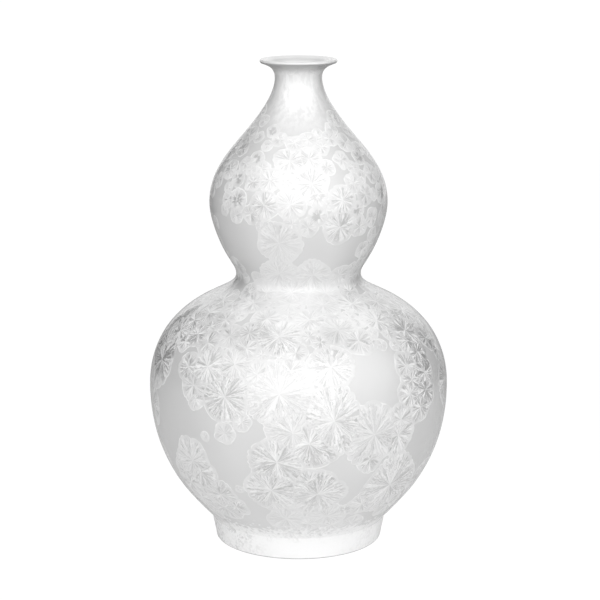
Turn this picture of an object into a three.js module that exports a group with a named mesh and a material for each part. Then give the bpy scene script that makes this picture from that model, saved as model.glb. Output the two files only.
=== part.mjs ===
// Gourd vase in crystalline-glazed porcelain: a large belly, a waist, a smaller upper bulb, a slim neck
// with a flared mouth, and a turned foot ring.
//
// The body is thrown on the wheel in sections that are luted together with slip. The rim of each section
// carries a tongue that centres it in a rebate of the section above, and the groove that is left on the
// outside is filled with a coil of soft clay, scraped flush before glazing. The bowl's base has a boss that
// centres it in the foot ring.
//
// Millimetres, +Z up. The origin is the centre of the ring that the vase stands on.

import * as THREE from 'three';

// Outside profile: the radius of each ring, and its rise above the ring before it.
const FOOT_RADIUS = 61.5;
const FOOT_TOP_RADIUS = 64.6;
const FOOT_HEIGHT = 17;
const BELLY_RADIUS = 109.5;
const BELLY_RISE = 100;
const SHOULDER_RADIUS = 72;
const SHOULDER_RISE = 62.5;
const WAIST_RADIUS = 45.5;
const WAIST_RISE = 19.5;
const CHEST_RADIUS = 53;
const CHEST_RISE = 16;
const UPPER_BULB_RADIUS = 64.5;
const UPPER_BULB_RISE = 37;
const SLOPE_RADIUS = 39;
const SLOPE_RISE = 50;
const NECK_RADIUS = 17;
const NECK_RISE = 40;
const MOUTH_RADIUS = 27.8;
const MOUTH_RISE = 13;

// Lean of the wall from the vertical at the rings where it isn't upright, in degrees. Outwards is positive.
const BELLY_START_LEAN = 30;
const SHOULDER_LEAN = -61;
const CHEST_LEAN = 29;
const SLOPE_LEAN = -40;
const MOUTH_LEAN = 70;

// How far each end of a curve keeps to its lean, as a share of the curve's chord.
const BELLY_PULLS = [0.12, 0.58];
const SHOULDER_PULLS = [0.22, 0.52];
const UNDER_WAIST_PULLS = [0.42, 0.26];
const OVER_WAIST_PULLS = [0.28, 0.58];
const CHEST_PULLS = [0.36, 0.26];
const UPPER_BULB_PULLS = [0.38, 0.34];
const NECK_PULLS = [0.56, 0.2];
const MOUTH_PULLS = [0.45, 0.4];

// Walls, lip, base and foot.
const BELLY_WALL = 6.5;
const NECK_WALL = 4.6;
const LIP_THICKNESS = 3;
const BASE_THICKNESS = 8;
const FLOOR_FILLET = 14;
const FOOT_LAND = 6;
const FOOT_EDGE = 1.2;
const FOOT_WELL = 8.5;

// Luted joints: the film of slip between two sections, the tongue, and the groove for the clay coil.
const SLIP_FILM = 0.3;
const TONGUE_HEIGHT = 4;
const SEAM_HEIGHT = 3;
const SEAM_DEPTH = 2.4;
const NECK_SEAM_DROP = 20;

// Fineness of the facets: segments around, and the most that the profile turns in one facet, in degrees.
const SEGMENTS = 48;
const OUTSIDE_TURN = 8;
const INSIDE_TURN = 18;
const LEAST_FACETS = 3;
const LIP_FACETS = 6;
const FILLET_FACETS = 4;
const TURN_SAMPLES = 32;

const GLAZE = new THREE.MeshStandardMaterial({ color: 0xdcdcdc, roughness: 0.14, metalness: 0 });
const FOOT_GLAZE = new THREE.MeshStandardMaterial({ color: 0xf0f0f0, roughness: 0.3, metalness: 0 });
const LUTING_CLAY = new THREE.MeshStandardMaterial({ color: 0xe6e3dc, roughness: 0.85, metalness: 0 });

// A point of the profile is a Vector2: its radius and its height.
const point = (radius, z) => new THREE.Vector2(radius, z);

// A ring of the profile, with the direction in which the wall climbs through it.
function ring(radius, z, lean = 0) {
  const angle = THREE.MathUtils.degToRad(lean);
  return { at: point(radius, z), climb: point(Math.sin(angle), Math.cos(angle)) };
}

// A curve of the wall from one ring to the next, which leaves and arrives along their climbs.
function wallCurve(from, to, [pullFrom, pullTo]) {
  const chord = from.at.distanceTo(to.at);
  const leave = from.at.clone().addScaledVector(from.climb, pullFrom * chord);
  const arrive = to.at.clone().addScaledVector(to.climb, -pullTo * chord);
  return new THREE.CubicBezierCurve(from.at, leave, arrive, to.at);
}

// The rings, from the foot up.
const bellyStart = ring(FOOT_TOP_RADIUS, FOOT_HEIGHT, BELLY_START_LEAN);
const belly = ring(BELLY_RADIUS, bellyStart.at.y + BELLY_RISE);
const shoulder = ring(SHOULDER_RADIUS, belly.at.y + SHOULDER_RISE, SHOULDER_LEAN);
const waist = ring(WAIST_RADIUS, shoulder.at.y + WAIST_RISE);
const chest = ring(CHEST_RADIUS, waist.at.y + CHEST_RISE, CHEST_LEAN);
const upperBulb = ring(UPPER_BULB_RADIUS, chest.at.y + UPPER_BULB_RISE);
const slope = ring(SLOPE_RADIUS, upperBulb.at.y + SLOPE_RISE, SLOPE_LEAN);
const neck = ring(NECK_RADIUS, slope.at.y + NECK_RISE);

// The lip is a half round. Its centre sets where the outside of the mouth ends.
const lipRound = LIP_THICKNESS / 2;
const lipCentre = point(MOUTH_RADIUS - lipRound, neck.at.y + MOUTH_RISE - lipRound);
const lipClimb = ring(0, 0, MOUTH_LEAN).climb;
const lipUnder = lipCentre.clone().add(point(lipClimb.y, -lipClimb.x).multiplyScalar(lipRound));
const mouth = { at: lipUnder, climb: lipClimb };

const wallCurves = [
  wallCurve(bellyStart, belly, BELLY_PULLS),
  wallCurve(belly, shoulder, SHOULDER_PULLS),
  wallCurve(shoulder, waist, UNDER_WAIST_PULLS),
  wallCurve(waist, chest, OVER_WAIST_PULLS),
  wallCurve(chest, upperBulb, CHEST_PULLS),
  wallCurve(upperBulb, slope, UPPER_BULB_PULLS),
  wallCurve(slope, neck, NECK_PULLS),
  wallCurve(neck, mouth, MOUTH_PULLS),
];

// The wall thins evenly from the belly's start to the neck, and from there to the lip.
function wallThickness(z) {
  const { mapLinear } = THREE.MathUtils;
  if (z < neck.at.y) return mapLinear(z, bellyStart.at.y, neck.at.y, BELLY_WALL, NECK_WALL);
  return mapLinear(z, neck.at.y, mouth.at.y, NECK_WALL, LIP_THICKNESS);
}

// How many facets a curve needs if none may turn by more than the given degrees.
function facetCount(curve, mostTurn) {
  const tangents = Array.from({ length: TURN_SAMPLES + 1 }, (_, i) => curve.getTangent(i / TURN_SAMPLES));
  const turns = tangents.slice(1).map((tangent, i) => Math.abs(tangent.cross(tangents[i])));
  const total = turns.reduce((sum, turn) => sum + Math.asin(Math.min(1, turn)), 0);
  return Math.max(LEAST_FACETS, Math.ceil(THREE.MathUtils.radToDeg(total) / mostTurn));
}

// Points along all the wall's curves, each moved into the wall by depth(height).
function wallPoints(mostTurn, depth) {
  const points = [];
  for (const curve of wallCurves) {
    const facets = facetCount(curve, mostTurn);
    for (let i = points.length ? 1 : 0; i <= facets; i++) {
      const at = curve.getPointAt(i / facets);
      const climb = curve.getTangentAt(i / facets);
      points.push(at.clone().addScaledVector(point(-climb.y, climb.x), depth(at.y)));
    }
  }
  return points;
}

const outside = [point(FOOT_RADIUS, FOOT_EDGE), ...wallPoints(OUTSIDE_TURN, () => 0)];
const inside = wallPoints(INSIDE_TURN, wallThickness);

// The radius of a climbing line of points at a height.
function radiusAt(points, z) {
  const above = Math.max(1, points.findIndex((p) => p.y >= z));
  const [low, high] = [points[above - 1], points[above]];
  return THREE.MathUtils.mapLinear(z, low.y, high.y, low.x, high.x);
}

// The stretch of a climbing line of points between two heights. Points close to a cut are left to the cut.
function stretch(points, from, to) {
  const nearCut = SLIP_FILM;
  const kept = points.filter((p) => p.y > from + nearCut && p.y < to - nearCut);
  return [point(radiusAt(points, from), from), ...kept, point(radiusAt(points, to), to)];
}

// A luted joint at a height: the groove's floor, its two sides, and the top of the tongue.
function lutedJoint(z) {
  return {
    z,
    groove: radiusAt(outside, z) - SEAM_DEPTH,
    under: z - SEAM_HEIGHT / 2,
    over: z + SEAM_HEIGHT / 2,
    tongue: z + TONGUE_HEIGHT,
  };
}

const footJoint = lutedJoint(bellyStart.at.y);
const bellyJoint = lutedJoint(belly.at.y);
const waistJoint = lutedJoint(waist.at.y);
const upperJoint = lutedJoint(upperBulb.at.y);
const neckJoint = lutedJoint(neck.at.y - NECK_SEAM_DROP);

// The top of a section, from the outside in: the groove's ledge and the side of the tongue.
const tongueEdge = (joint) => [point(joint.groove, joint.under), point(joint.groove, joint.tongue)];

// The foot of a section, from the inside out: the rebate that takes the tongue, and the groove's ceiling.
const rebateEdge = (joint) => [
  point(joint.groove + SLIP_FILM, joint.tongue + SLIP_FILM),
  point(joint.groove + SLIP_FILM, joint.over),
];

// A solid turned from a closed outline of points, with the Z axis as its axle.
function turned(name, outline, material) {
  const geometry = new THREE.LatheGeometry(outline, SEGMENTS).rotateX(Math.PI / 2);
  const mesh = new THREE.Mesh(geometry, material);
  mesh.name = name;
  return mesh;
}

const closed = (outline) => [...outline, outline[0].clone()];

// A section between two luted joints.
function thrownSection(name, low, high) {
  return turned(
    name,
    closed([
      ...stretch(outside, low.over, high.under),
      ...tongueEdge(high),
      ...stretch(inside, low.tongue + SLIP_FILM, high.tongue).reverse(),
      ...rebateEdge(low),
    ]),
    GLAZE,
  );
}

// The clay coil that fills the groove of a joint, flush with the wall.
function seamCoil(name, joint) {
  const [low, high] = [joint.under + SLIP_FILM, joint.over - SLIP_FILM];
  const back = joint.groove + SLIP_FILM;
  return turned(
    name,
    closed([point(back, low), ...stretch(outside, low, high), point(back, high)]),
    LUTING_CLAY,
  );
}

// The foot ring: a flat land to stand on with eased edges, and a straight bore that takes the bowl's boss.
const footBore = FOOT_RADIUS - 2 * FOOT_EDGE - FOOT_LAND;

function footRing() {
  return turned(
    'foot_ring',
    closed([
      point(FOOT_RADIUS - FOOT_EDGE, 0),
      ...stretch(outside, FOOT_EDGE, footJoint.under),
      point(footBore, footJoint.under),
      point(footBore, FOOT_EDGE),
      point(footBore + FOOT_EDGE, 0),
    ]),
    FOOT_GLAZE,
  );
}

// The lower bowl: boss, base, a fillet round the floor, and the belly up to its widest ring.
function lowerBowl() {
  const boss = footBore - SLIP_FILM;
  const seat = footJoint.under + SLIP_FILM;
  const floor = FOOT_WELL + BASE_THICKNESS;
  const floorRadius = radiusAt(inside, floor);
  const filletTop = floor + FLOOR_FILLET;
  const fillet = new THREE.QuadraticBezierCurve(
    point(radiusAt(inside, filletTop), filletTop),
    point(floorRadius, floor),
    point(floorRadius - FLOOR_FILLET, floor),
  );
  return turned(
    'lower_bowl',
    [
      point(0, FOOT_WELL),
      point(boss, FOOT_WELL),
      point(boss, seat),
      point(footJoint.groove, seat),
      point(footJoint.groove, footJoint.over),
      ...stretch(outside, footJoint.over, bellyJoint.under),
      ...tongueEdge(bellyJoint),
      ...stretch(inside, filletTop, bellyJoint.tongue).reverse(),
      ...fillet.getPoints(FILLET_FACETS).slice(1),
      point(0, floor),
    ],
    GLAZE,
  );
}

// The neck with its flared mouth, closed by the half round of the lip.
function neckAndMouth() {
  const start = Math.atan2(-lipClimb.x, lipClimb.y);
  const lip = Array.from({ length: LIP_FACETS - 1 }, (_, i) => {
    const angle = start + (Math.PI * (i + 1)) / LIP_FACETS;
    return lipCentre.clone().add(point(Math.cos(angle), Math.sin(angle)).multiplyScalar(lipRound));
  });
  const seat = neckJoint.tongue + SLIP_FILM;
  return turned(
    'neck_and_mouth',
    closed([
      ...stretch(outside, neckJoint.over, mouth.at.y),
      ...lip,
      ...stretch(inside, seat, inside.at(-1).y).reverse(),
      ...rebateEdge(neckJoint),
    ]),
    GLAZE,
  );
}

const vase = new THREE.Group();
vase.add(
  footRing(),
  seamCoil('foot_seam_coil', footJoint),
  lowerBowl(),
  seamCoil('belly_seam_coil', bellyJoint),
  thrownSection('lower_dome', bellyJoint, waistJoint),
  seamCoil('waist_seam_coil', waistJoint),
  thrownSection('upper_bowl', waistJoint, upperJoint),
  seamCoil('upper_seam_coil', upperJoint),
  thrownSection('upper_dome', upperJoint, neckJoint),
  seamCoil('neck_seam_coil', neckJoint),
  neckAndMouth(),
);

export default vase;
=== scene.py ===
"""A gourd vase in white porcelain with a crystalline glaze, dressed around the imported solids.

Six glazed sections are turned from one wall line, so the luted joints between them don't show through the
glaze. The crystals are grown on the wall from nuclei: every point of the wall belongs to the crystal that
reaches furthest past it, and the points that no crystal reaches stay plain glaze. Each point keeps where it
lies in its crystal, and the glaze's material draws petals, needles and pale edges from that.

The wall and the crystals are in millimetres, and the meshes in metres.
"""

import math

import bpy
import numpy as np
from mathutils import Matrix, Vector


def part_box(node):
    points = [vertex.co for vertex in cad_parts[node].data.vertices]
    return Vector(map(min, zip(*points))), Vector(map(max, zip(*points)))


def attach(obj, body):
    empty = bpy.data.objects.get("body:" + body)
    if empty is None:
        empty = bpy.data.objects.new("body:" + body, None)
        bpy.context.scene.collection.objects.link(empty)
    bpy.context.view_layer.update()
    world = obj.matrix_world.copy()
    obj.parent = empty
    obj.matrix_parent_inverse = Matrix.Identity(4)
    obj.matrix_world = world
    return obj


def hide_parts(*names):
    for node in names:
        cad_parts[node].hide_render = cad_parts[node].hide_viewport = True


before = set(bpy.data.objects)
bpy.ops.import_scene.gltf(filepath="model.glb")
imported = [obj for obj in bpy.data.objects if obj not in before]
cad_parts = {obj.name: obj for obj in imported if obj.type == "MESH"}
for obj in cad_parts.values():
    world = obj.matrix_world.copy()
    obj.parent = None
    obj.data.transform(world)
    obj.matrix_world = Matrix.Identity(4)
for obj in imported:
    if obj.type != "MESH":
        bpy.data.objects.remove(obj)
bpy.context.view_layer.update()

MM = 0.001

# The wall, as in the solids: radius and height of each ring, and the wall's lean there in degrees.
FOOT_CORNER = (64.6, 17.0, 30.0)
BELLY = (109.5, 117.0, 0.0)
SHOULDER = (72.0, 179.5, -61.0)
WAIST = (45.5, 199.0, 0.0)
CHEST = (53.0, 215.0, 29.0)
UPPER_BULB = (64.5, 252.0, 0.0)
SLOPE = (39.0, 302.0, -40.0)
NECK = (17.0, 342.0, 0.0)
MOUTH_RADIUS = 27.8
MOUTH_HEIGHT = 355.0
MOUTH_LEAN = 70.0
LIP_THICKNESS = 3.0
BELLY_WALL = 6.5
NECK_WALL = 4.6

# How far each end of a curve of the wall keeps to its lean, as a share of the curve's chord.
BELLY_PULLS = (0.12, 0.58)
SHOULDER_PULLS = (0.22, 0.52)
UNDER_WAIST_PULLS = (0.42, 0.26)
OVER_WAIST_PULLS = (0.28, 0.58)
CHEST_PULLS = (0.36, 0.26)
UPPER_BULB_PULLS = (0.38, 0.34)
NECK_PULLS = (0.56, 0.2)
MOUTH_PULLS = (0.45, 0.4)

# Foot, base and luted joints.
FOOT_RADIUS = 61.5
FOOT_LAND = 6.0
FOOT_EDGE = 1.2
FOOT_WELL = 8.5
BASE_THICKNESS = 8.0
BOSS_EDGE = 0.6
FLOOR_FILLET = 14.0
SLIP_FILM = 0.3
TONGUE_HEIGHT = 4.0
SEAM_HALF_HEIGHT = 1.5
SEAM_DEPTH = 2.4
# Heights below which the standing land and the base are left unglazed, from the floor and from the base.
# The bare standing land also carries painted contact shade: its clay is painted dark grey.
BARE_LAND_AND_CONTACT_SHADE = 0.8
BARE_BASE = 0.7

# Fineness of the meshes: columns around, and the spacing of rows along the wall and inside it.
LOWER_COLUMNS = 660
UPPER_COLUMNS = 560
NECK_COLUMNS = 280
ROW_SPACING = 1.0
FINE_ROW_SPACING = 0.8
INSIDE_ROW_SPACING = 8.0
MOUTH_ROW_SPACING = 1.5
CURVE_SAMPLES = 600
LIP_STEPS = 10
EDGE_STEPS = 6
FOOT_STEPS = 16
BORE_STEPS = 4
WELL_STEPS = 6
# Rows that keep corners crisp, by their distance from the corner, and the radii of rows on the floor.
CRISP_CORNER = 0.1
CRISP_SEAT = 0.5
FLOOR_ROW = 20.0
AXIS_ROW = 6.0

# Crystals that face the viewer: height on the wall, angle to the right of the front, and reach.
SHOULDER_CRYSTALS = [
    (182, -6, 8), (171, 5, 8), (183, -46, 8), (172, -48, 8), (177, 34, 7), (168, 46, 7), (180, -36, 7),
    (181.5, 22, 7), (180, 30, 7), (143, -69, 21), (154, -72, 15), (164, -67, 14), (160, -57, 9),
    (172, -63, 12), (170, -80, 12), (166, -52, 11), (177, -42, 11), (169, -33, 11), (172, -24, 11),
    (163, -23, 11), (163, -43, 11), (171, -9, 18), (174, 20, 15), (167, 28, 13), (165, 34, 6),
    (167, 58, 15), (176, 45, 13), (180, 6, 13), (180, -18, 13), (187, -34, 13), (188, -6, 12),
    (187, 18, 13), (186, 40, 13), (184, 62, 13), (185, -62, 13), (178, -58, 13), (176, 74, 14),
    (169, 84, 14), (158, 70, 11), (148, 76, 10),
]
BELLY_CRYSTALS = [
    (149, -38, 17), (146, -48, 12), (135, -43, 13), (126, -41, 9), (105, -28, 9), (115, -21, 8),
    (153, -26, 15), (131, -28, 20), (136, -7, 26), (153, 13, 18), (161, 54, 12), (153, 57, 12),
    (147, 47, 12), (137, 48, 12), (139, 57, 13), (128, 46, 13), (127, 56, 13), (116, 52, 13), (117, 13, 26),
    (104, 29, 25), (111, 41, 14), (100, 40, 17), (78, -46, 20), (70, -43, 17), (54, -36, 16), (42, -38, 15),
    (45, -30, 11), (45, -52, 14), (33, -50, 9), (57, -54, 15), (66, -55, 12), (48, 30, 13), (44, 22, 8),
    (52, -10, 9), (52, 3, 9), (100, -37, 4.5), (62, -25, 4), (87, -8, 22), (109, -2, 21), (64, -11, 21),
    (101, 4, 21), (60, 42, 28), (55, 68, 18), (61, 8, 22), (38, -6, 15), (40, 14, 15), (33, 5, 10),
    (30, 18, 10), (29, 30, 11), (27, -6, 8), (40, 50, 14), (122, -10, 10), (148, -16, 12), (151, -3, 12),
    (162, -1, 9), (168, 10, 8), (72, 4, 12), (86, 28, 12), (112, 36, 10), (77, 12, 3),
]
UPPER_CRYSTALS = [
    (232, -13, 18), (259, -22, 12), (262, 29, 12), (274, 9, 14), (275, -46, 7), (285, -45, 6.5),
    (289, -36, 7), (307, -31, 6), (302, -20, 6.5), (302, 10, 7), (302, 34, 7), (308, 43, 6), (261, -42, 9),
    (252, -31, 8), (260, -51, 7), (288, 57, 7), (277, 63, 9), (243, 27, 14), (244, 6, 8), (247, 54, 8),
    (289, -7, 12), (290, 9, 10), (276, -20, 10), (260, -5, 12), (264, 48, 9), (297, 22, 7), (266, 12, 9),
    (252, 12, 8), (283, -28, 7), (284, 22, 7), (262, 68, 9), (246, 70, 9), (254, 40, 7),
]
WAIST_CRYSTALS = [
    (208, -16, 15), (207, 12, 15), (205, 38, 10), (194, -6, 13), (193, 24, 12), (192, -46, 8),
    (193, -28, 10), (192, 48, 9),
]

# Patches of plain glaze in between: height, angle and radius. No other crystal starts in them.
PLAIN_PATCHES = [
    (126, -50, 20), (99, -59, 16), (95, -33, 9), (82, -24, 11), (67, -20, 7), (117, -19, 7), (148, 28, 19),
    (134, 22, 10), (131, 34, 9), (83, 61, 16), (85, 17, 7), (62, 22, 6), (34, -25, 9), (44, 24, 5),
    (230, -52, 18), (215, -38, 11), (220, 20, 13), (225, 36, 11), (278, 32, 8), (315, 2, 10),
    (254, -66, 10), (242, -59, 11), (231, 46, 10), (297, -45, 6), (294, 40, 6), (236, -35, 13), (234, 9, 8),
    (314, -22, 10), (314, 26, 10), (322, -40, 10), (322, 40, 10), (326, 0, 14), (334, 0, 14),
    (334, -50, 12), (334, 50, 12), (222, -24, 9), (218, -3, 7), (224, 4, 8), (232, 17, 8), (140, -56, 10),
]

# Clearings of plain glaze on the sides and the back, in the same way. Crystals only lap over their edges.
BACK_CLEARINGS = [
    (134, 152, 15), (118, 140, 17), (102, 150, 12), (92, -150, 17), (80, -136, 15), (104, -166, 10),
    (142, -112, 13), (128, -106, 10), (60, 176, 12), (52, 160, 8), (84, 108, 9), (46, -104, 10),
    (34, 128, 7), (34, -160, 8), (232, 146, 13), (226, 124, 11), (222, -150, 12), (236, -128, 12),
    (246, -112, 9), (258, -176, 8), (284, 118, 8), (288, -148, 9), (296, 172, 7), (176, -172, 6),
    (184, 120, 5), (180, -104, 5),
]
# How far off a clearing's edge a crystal starts, as a share of its reach.
LAP = 0.6

# Crystals of the rest of the wall: how many starts are tried, how small most of them are, the front,
# which only gets small ones in gaps, and the reach of the crystals by height.
SEED = 29
TRIES = 9000
SMALLNESS = 1.6
FRONT_ANGLE = 76.0
FRONT_FILL_HEIGHT = 160.0
FRONT_FILL_REACHES = (4.5, 9.0)
LEAST_REACH = 2.5
REACH_HEIGHTS = (17.0, 60.0, 130.0, 175.0, 199.0, 250.0, 300.0, 330.0, 345.0)
REACH_LIMITS = (9.0, 19.0, 24.0, 14.0, 9.0, 15.0, 9.0, 7.0, 5.0)
# How close two crystals may start, as a share of their reaches, and the depth that stands for no crystal.
CROWDING = 0.7
OPEN_GLAZE = -4.0

# Petals of a crystal: their width at its front, the spread of their count, how deep the front is
# scalloped, as a share of the reach, and how full the petals are, with the swing from full ones to
# shallow ones.
PETAL_WIDTH = 6.5
PETAL_SPREAD = (0.85, 1.15)
FEWEST_PETALS = 7
SCALLOP = 0.075
FULLNESS = (0.6, 0.4)
# What turns each crystal differently, and how its petals are bunched by twos and threes.
OWN_TURN = 2.399
TWO_FOLD = 0.22
THREE_FOLD = 0.12
# Slow waves of a crystal's reach, as shares of it, and the room around a nucleus in which its crystal is
# grown: a multiple of its reach, and an allowance.
REACH_WAVES = 4
WAVE_SPREAD = 0.03
GROWTH_ROOM = (1.4, 4.0)

# Relief of the glaze: its rise over crystals and the depth where that is full, its rise along their
# edges, how deep the front's edge lies and how wide it is, and the width where two crystals meet.
CRYSTAL_RISE = 0.06
LEVEL_DEPTH = 1.2
EDGE_RISE = 0.05
EDGE_DEPTH = 0.4
EDGE_WIDTH = 0.8
MEETING_WIDTH = 0.7
# Throwing rings: their rise and pitch, and the swell that lets them come and go, with its sway around.
THROWING_RISE = 0.036
THROWING_PITCH = 5.3
THROWING_SWELL = 31.0
THROWING_SWAY = 0.4

# Camera, in metres and degrees: fitted to the photograph's rim and foot.
CAMERA_TARGET = Vector((0.0011, 0.0, 0.1785))
CAMERA_DISTANCE = 1.416
CAMERA_PITCH = 12.5
CAMERA_LENS = 115.8
SENSOR_WIDTH = 36.0


def half_turn(angle):
    """An angle brought within half a turn of zero."""
    return (angle + math.pi) % (2 * math.pi) - math.pi


def lengths_along(points):
    """The length along a line of points, from its start to each of them."""
    return np.concatenate([[0], np.cumsum(np.linalg.norm(np.diff(points, axis=0), axis=1))])


def points_at(points, lengths, runs):
    """Points of a line at given lengths along it."""
    return np.stack([np.interp(runs, lengths, part) for part in points.T], axis=1)


def even_steps(start, end, spacing):
    """Even steps from one length to another, ends included, no further apart than a spacing."""
    return np.linspace(start, end, max(2, math.ceil(abs(end - start) / spacing) + 1))


def ring(radius, height, lean):
    """A ring of the wall: its point, and the direction in which the wall climbs through it."""
    angle = math.radians(lean)
    return np.array([radius, height]), np.array([math.sin(angle), math.cos(angle)])


def wall_curve(start, end, pulls):
    """A cubic Bezier curve from ring to ring, whose handles lie along the rings' climbs."""
    (a, climb_a), (b, climb_b) = start, end
    chord = np.linalg.norm(b - a)
    handles = a, a + climb_a * pulls[0] * chord, b - climb_b * pulls[1] * chord, b
    t = np.linspace(0, 1, CURVE_SAMPLES)[:, None]
    weights = (1 - t) ** 3, 3 * (1 - t) ** 2 * t, 3 * (1 - t) * t**2, t**3
    return sum(w * h for w, h in zip(weights, handles))


def lip_ring():
    """The ring where the mouth's underside meets the lip, which is a half round about the centre returned."""
    climb = ring(0, 0, MOUTH_LEAN)[1]
    half = LIP_THICKNESS / 2
    centre = np.array([MOUTH_RADIUS - half, MOUTH_HEIGHT - half])
    return (centre + half * np.array([climb[1], -climb[0]]), climb), centre


def wall_line():
    """The outside of the wall from the foot corner to the lip, as close points in order."""
    rings = [ring(*r) for r in (FOOT_CORNER, BELLY, SHOULDER, WAIST, CHEST, UPPER_BULB, SLOPE, NECK)]
    rings.append(lip_ring()[0])
    pulls = (
        BELLY_PULLS, SHOULDER_PULLS, UNDER_WAIST_PULLS, OVER_WAIST_PULLS,
        CHEST_PULLS, UPPER_BULB_PULLS, NECK_PULLS, MOUTH_PULLS,
    )
    curves = [wall_curve(a, b, p) for a, b, p in zip(rings, rings[1:], pulls)]
    return np.concatenate([curves[0], *[c[1:] for c in curves[1:]]])


WALL = wall_line()
WALL_STEP = np.gradient(WALL, axis=0)
WALL_CLIMB = WALL_STEP / np.linalg.norm(WALL_STEP, axis=1, keepdims=True)
WALL_RUN = lengths_along(WALL)
WALL_THICKNESS = np.interp(
    WALL[:, 1], [FOOT_CORNER[1], NECK[1], WALL[-1, 1]], [BELLY_WALL, NECK_WALL, LIP_THICKNESS]
)
INSIDE = WALL + WALL_THICKNESS[:, None] * np.stack([-WALL_CLIMB[:, 1], WALL_CLIMB[:, 0]], axis=1)
INSIDE_RUN = lengths_along(INSIDE)


def run_at(height):
    """Length along the wall from the foot corner to a height."""
    return np.interp(height, WALL[:, 1], WALL_RUN)


def on_wall(values, run):
    """A value known at each point of the wall line, at lengths along the wall."""
    return np.interp(run, WALL_RUN, values)


def seam_height(coil):
    """The height of a luted seam: the middle of its coil in the frame."""
    low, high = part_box(coil)
    return (low.z + high.z) / 2 / MM


SEAMS = {name: seam_height(name + "_seam_coil") for name in ("foot", "belly", "waist", "upper", "neck")}


# Crystals


def on_wall_spots(listed):
    """Spots listed by height, angle in degrees and radius, as rows of run along the wall, angle, radius."""
    height, angle, radius = np.array(listed, float).T
    return np.stack([run_at(height), np.radians(angle), radius], axis=1)


def apart(nuclei, run, angle):
    """Distances along the wall from one place to each nucleus."""
    around = half_turn(nuclei[:, 1] - angle) * on_wall(WALL[:, 0], (nuclei[:, 0] + run) / 2)
    return np.hypot(nuclei[:, 0] - run, around)


def all_nuclei():
    """The listed crystals, and seeded random ones over the rest of the wall.

    Starts are tried evenly over the wall's area, the furthest reaching first. One is kept if it lies off
    the plain patches, laps over a clearing by no more than part of its reach, and is no closer to another
    crystal than a share of their two reaches. On the front they only fill gaps above the belly, so they
    stay small.
    """
    random = np.random.default_rng(SEED)
    nuclei = on_wall_spots(SHOULDER_CRYSTALS + BELLY_CRYSTALS + UPPER_CRYSTALS + WAIST_CRYSTALS)
    plain = on_wall_spots(PLAIN_PATCHES)
    clearings = on_wall_spots(BACK_CLEARINGS)
    area = np.cumsum(WALL[:, 0] * np.gradient(WALL_RUN))
    runs = np.interp(random.random(TRIES), area / area[-1], WALL_RUN)
    angles = random.uniform(-math.pi, math.pi, TRIES)
    sizes = random.random(TRIES) ** SMALLNESS
    heights = on_wall(WALL[:, 1], runs)
    limits = np.interp(heights, REACH_HEIGHTS, REACH_LIMITS)
    front = np.abs(angles) < math.radians(FRONT_ANGLE)
    least = np.where(front, FRONT_FILL_REACHES[0], LEAST_REACH)
    limits = np.where(front, np.minimum(limits, FRONT_FILL_REACHES[1]), limits)
    reaches = least + sizes * (limits - least)
    open_front = front & (heights < FRONT_FILL_HEIGHT)
    for i in np.argsort(-reaches, kind="stable"):
        if open_front[i]:
            continue
        run, turn, reach = runs[i], angles[i], reaches[i]
        if (apart(plain, run, turn) < plain[:, 2]).any():
            continue
        if (apart(clearings, run, turn) < clearings[:, 2] + LAP * reach).any():
            continue
        if (apart(nuclei, run, turn) < CROWDING * (nuclei[:, 2] + reach)).any():
            continue
        nuclei = np.vstack([nuclei, [run, turn, reach]])
    return nuclei


NUCLEI = all_nuclei()


def petal_side(direction, petals, number):
    """How far a direction lies from the middle of its petal: 0 in the middle, 1 on the line between two.

    The direction is bent by a two-fold and a three-fold wave, so that petals differ in width, and counted
    off in petals. The crystal's number sets where the waves and the first petal start.
    """
    own = OWN_TURN * number
    bent = direction + TWO_FOLD * np.sin(2 * direction + own) + THREE_FOLD * np.sin(3 * direction + 2 * own)
    turn = (petals * bent + own) / (2 * math.pi)
    return np.abs(2 * (turn - np.floor(turn)) - 1)


def crystal_field(runs, radii, angles):
    """Grows every crystal over a grid of the wall and returns what each point of the grid needs to know.

    A crystal's reach in a direction is its mean reach, bent by a few slow waves and rounded off over each
    petal. Its depth at a point is the reach less the distance from the nucleus. The deepest crystal holds
    the point. Returned are that depth, the lead over the next crystal, the place relative to the nucleus,
    across and along the wall, the crystal's number and its count of petals. Where none holds the wall the
    count is 1.
    """
    random = np.random.default_rng(SEED + 1)
    held = np.zeros((6, len(runs), len(angles)))
    depth, lead, across, along, number, petals = held
    depth[:] = OPEN_GLAZE
    petals[:] = 1
    second = np.full_like(depth, OPEN_GLAZE)
    for i, (run, angle, reach) in enumerate(NUCLEI, 1):
        waves = random.normal(0, WAVE_SPREAD, REACH_WAVES)
        phases = random.uniform(0, 2 * math.pi, REACH_WAVES)
        count = round(2 * math.pi * reach / PETAL_WIDTH * random.uniform(*PETAL_SPREAD))
        count = max(FEWEST_PETALS, count)
        room = GROWTH_ROOM[0] * reach + GROWTH_ROOM[1]
        turn = half_turn(angles - angle)
        rows = np.flatnonzero(np.abs(runs - run) < room)
        if not len(rows):
            continue
        columns = np.flatnonzero(np.abs(turn) * radii[rows].min() < room)
        if not len(columns):
            continue
        x = turn[columns][None, :] * radii[rows][:, None]
        y = np.repeat((runs[rows] - run)[:, None], len(columns), axis=1)
        direction = np.arctan2(y, x)
        bend = sum(w * np.cos(fold * direction + p) for fold, (w, p) in enumerate(zip(waves, phases), 2))
        full = FULLNESS[0] + FULLNESS[1] * np.sin(3 * direction + 5 * phases[0])
        lobe = full * (1 - petal_side(direction, count, i) ** 2)
        here = reach * (1 - SCALLOP + bend + SCALLOP * lobe) - np.hypot(x, y)
        block = np.ix_(rows, columns)
        ahead = here > depth[block]
        second[block] = np.where(ahead, depth[block], np.maximum(second[block], here))
        for layer, value in ((depth, here), (across, x), (along, y), (number, i), (petals, count)):
            layer[block] = np.where(ahead, value, layer[block])
    lead[:] = depth - second
    return held


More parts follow.
